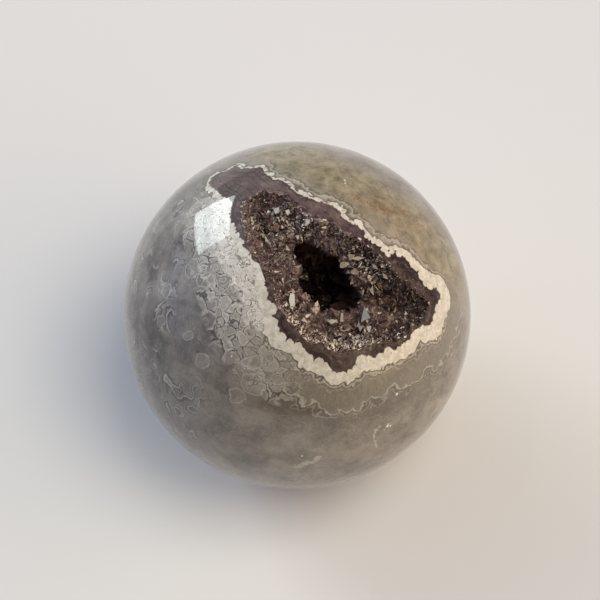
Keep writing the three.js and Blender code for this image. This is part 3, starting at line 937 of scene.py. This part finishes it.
# The small points, all over the wall: as large as their spacing, more or less
SMALL_TRIES = 150000
SMALL_TILT = math.radians(50)
places, inward, spacing = wall_places(SMALL_TRIES, SPACINGS)
radii = spacing * np.clip(draw.lognormal(-0.3, 0.35, len(places)), 0.4, 1.5)
heights = radii * draw.uniform(0.8, 1.9, len(places))
axes = turned(inward, SMALL_TILT)
points, triangles, shades = grow_crystals(small_shapes, places, axes, radii, heights)
small_crystals = new_piece("amethyst_points", points, triangles)
finish_druse(small_crystals, shades, 1.0)

# The large ones between them, which are smaller near the mouth
LARGE_TRIES = 60000
LARGE_TILT = math.radians(45)
places, inward, _ = wall_places(LARGE_TRIES, LARGE_SPACINGS)
deep = np.interp(depth_of(places), [1.0, 4], [0.4, 1.0])
radii = np.clip(draw.lognormal(-0.5, 0.3, len(places)), 0.35, 1.1) * deep
axes = turned(inward, LARGE_TILT)
points, triangles, shades = grow_crystals(large_shapes, places, axes, radii, radii)
large_crystals = new_piece("amethyst_crystals", points, triangles)
finish_druse(large_crystals, shades, 0.0)

# A few broad, clear faces carry a painted reflection of the room's light:
# (paleness, coolness, depth, corners along and across)
BRIGHT_FACES = [
    (0.6, 1.0, 3.1, [(8.5, 1.2), (10.8, 0.8), (10.2, -1.2)]),
    (0.45, 1.0, 2.6, [(10.1, -2.2), (10.9, -1.3), (11.2, -2.6)]),
    (0.6, 0.0, 0.5, [(-9.2, 3.6), (-8.8, 4.4), (-8.2, 3.5), (-8.3, 2.5)]),
    (0.45, 0.0, 1.1, [(-15.0, 1.8), (-14.5, 2.7), (-13.7, 2.0), (-14.0, 1.2)]),
    (0.4, 0.0, 0.8, [(-13.0, 2.7), (-12.7, 3.3), (-12.0, 2.8), (-12.1, 2.2)]),
    (1.0, 0.0, 1.7, [(-2.1, -7.3), (-1.5, -6.9), (-0.7, -7.6), (0.0, -8.4), (-0.2, -9.0), (-1.4, -8.3)]),
    (0.5, 0.0, 2.9, [(5.8, -5.8), (6.2, -4.9), (7.1, -4.5), (6.7, -5.7)]),
    (0.35, 0.0, 2.7, [(6.5, -3.1), (6.7, -2.8), (7.8, -3.8), (7.4, -4.2)]),
    (0.5, 0.0, 4.2, [(-7.4, -1.3), (-6.7, -1.3), (-6.6, -1.9)]),
    (0.4, 0.0, 1.5, [(0.7, 4.5), (1.2, 5.7), (2.2, 6.5), (1.7, 5.2)]),
    (0.3, 0.0, 1.4, [(3.7, 6.7), (4.3, 7.1), (5.2, 6.9), (4.4, 6.4)]),
    (0.25, 0.0, 1.3, [(6.0, 7.0), (6.7, 7.4), (7.5, 7.1), (6.8, 6.6)]),
]
BRIGHT_ROOT = 1.5
points, triangles, brightness, coolness = [], [], [], []
for bright, cool, depth, corners in BRIGHT_FACES:
    along, across = np.array(corners).T
    root = place_at(along.mean(), across.mean(), depth + BRIGHT_ROOT)
    form, faces = hull_of([*place_at(along, across, depth), root])
    triangles.append(faces + len(brightness))
    points.append(form)
    brightness += [bright] * len(form)
    coolness += [cool] * len(form)
bright_crystals = new_piece("amethyst_faces", np.concatenate(points), np.concatenate(triangles))
finish_druse(bright_crystals, coolness, 0.0, brightness)
SHEET_SHADE = 0.3
finish_druse(sheet, np.full(len(sheet.data.vertices), SHEET_SHADE), 1.0)

for scaffold in (hollow, pocket, trim):
    bpy.data.objects.remove(scaffold)


# The table top
# A smooth pale board, a little warm, that the ball stands on. It isn't part of the object.
FLOOR_SIDE = 3000
corners = np.array([(-1, -1, 0), (1, -1, 0), (1, 1, 0), (-1, 1, 0)]) * FLOOR_SIDE / 2
floor = new_piece("table_top", corners, np.array([[0, 1, 2, 3]]))
board = bpy.data.materials.new("painted_board")
tree = empty_tree(board)
add("OutputMaterial", add("BsdfPrincipled", base_color="#f0efef", roughness=0.6))
floor.data.materials.append(board)


# The light and the camera
# A soft room: a window at the back left, a ceiling lamp a little to the front right, and walls that throw
# their light back from four sides, warm at the right and cool at the left.
ball_centre = Vector(CENTRE * MM)


def lamp(name, towards, long_way, distance, width, height, radiance):
    """A glowing panel that faces the ball; its radiance is how bright it looks in red, green and blue"""
    light = bpy.data.lights.new(name, "AREA")
    light.shape = "RECTANGLE"
    light.size, light.size_y = width, height
    light.energy = max(radiance) * math.pi * width * height
    light.color = [part / max(radiance) for part in radiance]
    panel = put_in(name, light)
    back = Vector(towards).normalized()
    up = (Vector(long_way) - back * back.dot(Vector(long_way))).normalized()
    panel.location = ball_centre + back * distance
    panel.rotation_euler = Matrix((up.cross(back), up, back)).transposed().to_euler()


def direction_at(bearing, elevation):
    """A direction from its bearing, counted from +X about +Z, and its height over the horizon"""
    bearing, elevation = math.radians(bearing), math.radians(elevation)
    level = math.cos(elevation)
    return (level * math.cos(bearing), level * math.sin(bearing), math.sin(elevation))


lamp("window", (-0.681, 0.65, 0.35), (0.23, 0.65, -0.6), 1.0, 0.36, 0.54, (5.7, 6.3, 6.4))
lamp("ceiling_lamp", direction_at(340, 72), (0, 1, 0), 0.6, 0.3, 0.3, (5.3, 5.15, 4.4))
# Each wall: its bearing and elevation, and its radiance where it is brightest
WALLS = [
    (352, 20, (2.15, 1.72, 1.25)),
    (45, 20, (0.0, 0.0, 0.2)),
    (135, 20, (0.82, 0.88, 0.9)),
    (180, 20, (0.1, 0.19, 0.54)),
]
world = bpy.data.worlds.new("room")
bpy.context.scene.world = world
tree = empty_tree(world)
looking = add("TexCoord").outputs["Generated"]
glow = None
for bearing, elevation, radiance in WALLS:
    facing = add("VectorMath", looking, direction_at(bearing, elevation), operation="DOT_PRODUCT")
    facing = add("Math", facing.outputs["Value"], 0.0, operation="MAXIMUM")
    facing = add("Math", facing, 4.0, operation="POWER")
    wall = add("VectorMath", radiance, scale=facing, operation="SCALE")
    glow = add("VectorMath", glow, wall, operation="ADD") if glow else wall
add("OutputWorld", add("Background", glow, 1.0))

# The camera looks down from the front, with the ball a little left of the picture's middle and below it
VIEW_ELEVATION = math.radians(65)
VIEW_DISTANCE = 0.3
VIEW_RIGHT = 0.52 * MM
VIEW_UP = 2.6 * MM
camera_data = bpy.data.cameras.new("camera")
camera_data.lens = 103.9
camera_data.sensor_width = 36
camera = put_in("camera", camera_data)
view_up = Vector((0, math.sin(VIEW_ELEVATION), math.cos(VIEW_ELEVATION)))
view_back = Vector((0, -math.cos(VIEW_ELEVATION), math.sin(VIEW_ELEVATION)))
camera.location = ball_centre + Vector((VIEW_RIGHT, 0, 0)) + view_up * VIEW_UP + view_back * VIEW_DISTANCE
camera.rotation_euler = (math.pi / 2 - VIEW_ELEVATION, 0, 0)
bpy.context.scene.camera = camera
bpy.context.scene.view_settings.view_transform = "Standard"
